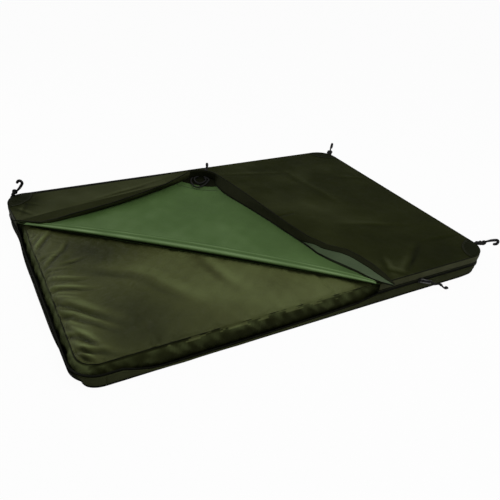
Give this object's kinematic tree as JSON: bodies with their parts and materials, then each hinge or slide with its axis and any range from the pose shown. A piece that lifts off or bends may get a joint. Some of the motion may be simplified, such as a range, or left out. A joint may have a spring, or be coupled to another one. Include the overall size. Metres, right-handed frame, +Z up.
{
  "type": "unhooking mat",
  "caption": "Padded mat in a shallow cloth tray under a zipped cover with a green lining, one corner folded back, and a plastic hook on an elastic loop at each corner.",
  "frame": {"origin": "on the ground under the middle of the closed mat", "axes": "+X along the mat's long side, +Y from the front edge with the slider to the back edge where the cover is hinged, +Z up"},
  "size_m": [1.1641, 0.7997, 0.108],
  "materials": {
    "cover_cloth": "matte",
    "tray_cloth": "matte",
    "mat_cloth": "satin",
    "lining_cloth": "satin",
    "foam": "matte",
    "zip_black": "satin",
    "zip_metal": "satin",
    "patch_cloth": "matte",
    "webbing": "matte",
    "elastic": "matte",
    "hook_plastic": "satin"
  },
  "bodies": {
    "mat_and_cover": {"tray_bottom": "tray_cloth", "tray_wall": "tray_cloth", "tray_zip_tape": "zip_black", "tray_zip_chain": "zip_black", "back_hinge_strip": "cover_cloth", "mat_bottom_panel": "mat_cloth", "mat_side_band": "mat_cloth", "mat_top_panel": "mat_cloth", "mat_seam_piping": "mat_cloth", "mat_foam": "foam", "cover_top_panel": "cover_cloth", "cover_lining": "lining_cloth", "cover_side_wall": "cover_cloth", "cover_zip_tape_left": "zip_black", "cover_zip_tape_right": "zip_black", "cover_zip_chain_left": "zip_black", "cover_zip_chain_right": "zip_black", "zip_bottom_stop": "zip_metal", "zip_top_stop_tray": "zip_metal", "zip_top_stop_cover": "zip_metal", "corner_patch_back_left": "patch_cloth", "corner_patch_back_right": "patch_cloth", "corner_patch_front_right": "patch_cloth", "hook_tab_back_left": "webbing", "hook_tab_back_right": "webbing", "hook_tab_front_right": "webbing"},
    "folded_corner": {"corner_top_panel": "cover_cloth", "corner_lining": "lining_cloth", "corner_side_wall": "cover_cloth", "corner_zip_tape": "zip_black", "corner_zip_chain": "zip_black", "cover_fold_roll": "lining_cloth", "corner_patch_folded_corner": "patch_cloth", "hook_tab_folded_corner": "webbing"},
    "slider": {"zip_slider": "zip_metal"},
    "pull_tab": {"zip_pull_tab": "zip_metal"},
    "pull_cord": {"zip_pull_cord": "elastic", "zip_pull_grip": "hook_plastic"},
    "back_left_hook": {"elastic_loop_back_left": "elastic", "hook_back_left": "hook_plastic"},
    "back_right_hook": {"elastic_loop_back_right": "elastic", "hook_back_right": "hook_plastic"},
    "front_right_hook": {"elastic_loop_front_right": "elastic", "hook_front_right": "hook_plastic"},
    "folded_corner_hook": {"elastic_loop_folded_corner": "elastic", "hook_folded_corner": "hook_plastic"}
  },
  "joints": [
    {"name": "corner_fold", "type": "hinge", "parent": "mat_and_cover", "child": "folded_corner", "pos_m": [-0.19, -0.08, 0.0587], "axis": [0.7682, -0.6402, 0], "range_deg": [0, 180], "deforming": ["cover_fold_roll"]},
    {"name": "slider_slide", "type": "slide", "parent": "mat_and_cover", "child": "slider", "axis": [1, 0, 0], "range_m": [-0.77, 0.17]},
    {"name": "pull_tab_swing", "type": "hinge", "parent": "slider", "child": "pull_tab", "pos_m": [0.306, -0.38155, 0.031], "axis": [0, 0, 1], "range_deg": [-150, 10]},
    {"name": "pull_cord_swing", "type": "hinge", "parent": "pull_tab", "child": "pull_cord", "pos_m": [0.32291, -0.38771, 0.031], "axis": [-0.342, -0.9397, 0], "range_deg": [-50, 120]},
    {"name": "back_left_hook_swing", "type": "hinge", "parent": "mat_and_cover", "child": "back_left_hook", "pos_m": [-0.53056, 0.37582, 0.0542], "axis": [0.5299, 0.848, 0], "range_deg": [-182, 8]},
    {"name": "back_right_hook_swing", "type": "hinge", "parent": "mat_and_cover", "child": "back_right_hook", "pos_m": [0.54976, 0.3545, 0.0542], "axis": [0.7071, -0.7071, 0], "range_deg": [-76, 114]},
    {"name": "front_right_hook_swing", "type": "hinge", "parent": "mat_and_cover", "child": "front_right_hook", "pos_m": [0.55862, -0.32721, 0.0542], "axis": [-0.4384, -0.8988, 0], "range_deg": [-66, 124]},
    {"name": "folded_corner_hook_swing", "type": "hinge", "parent": "folded_corner", "child": "folded_corner_hook", "pos_m": [0.03116, 0.31515, 0.0632], "axis": [0.823, -0.568, 0], "range_deg": [-3, 49]}
  ]
}
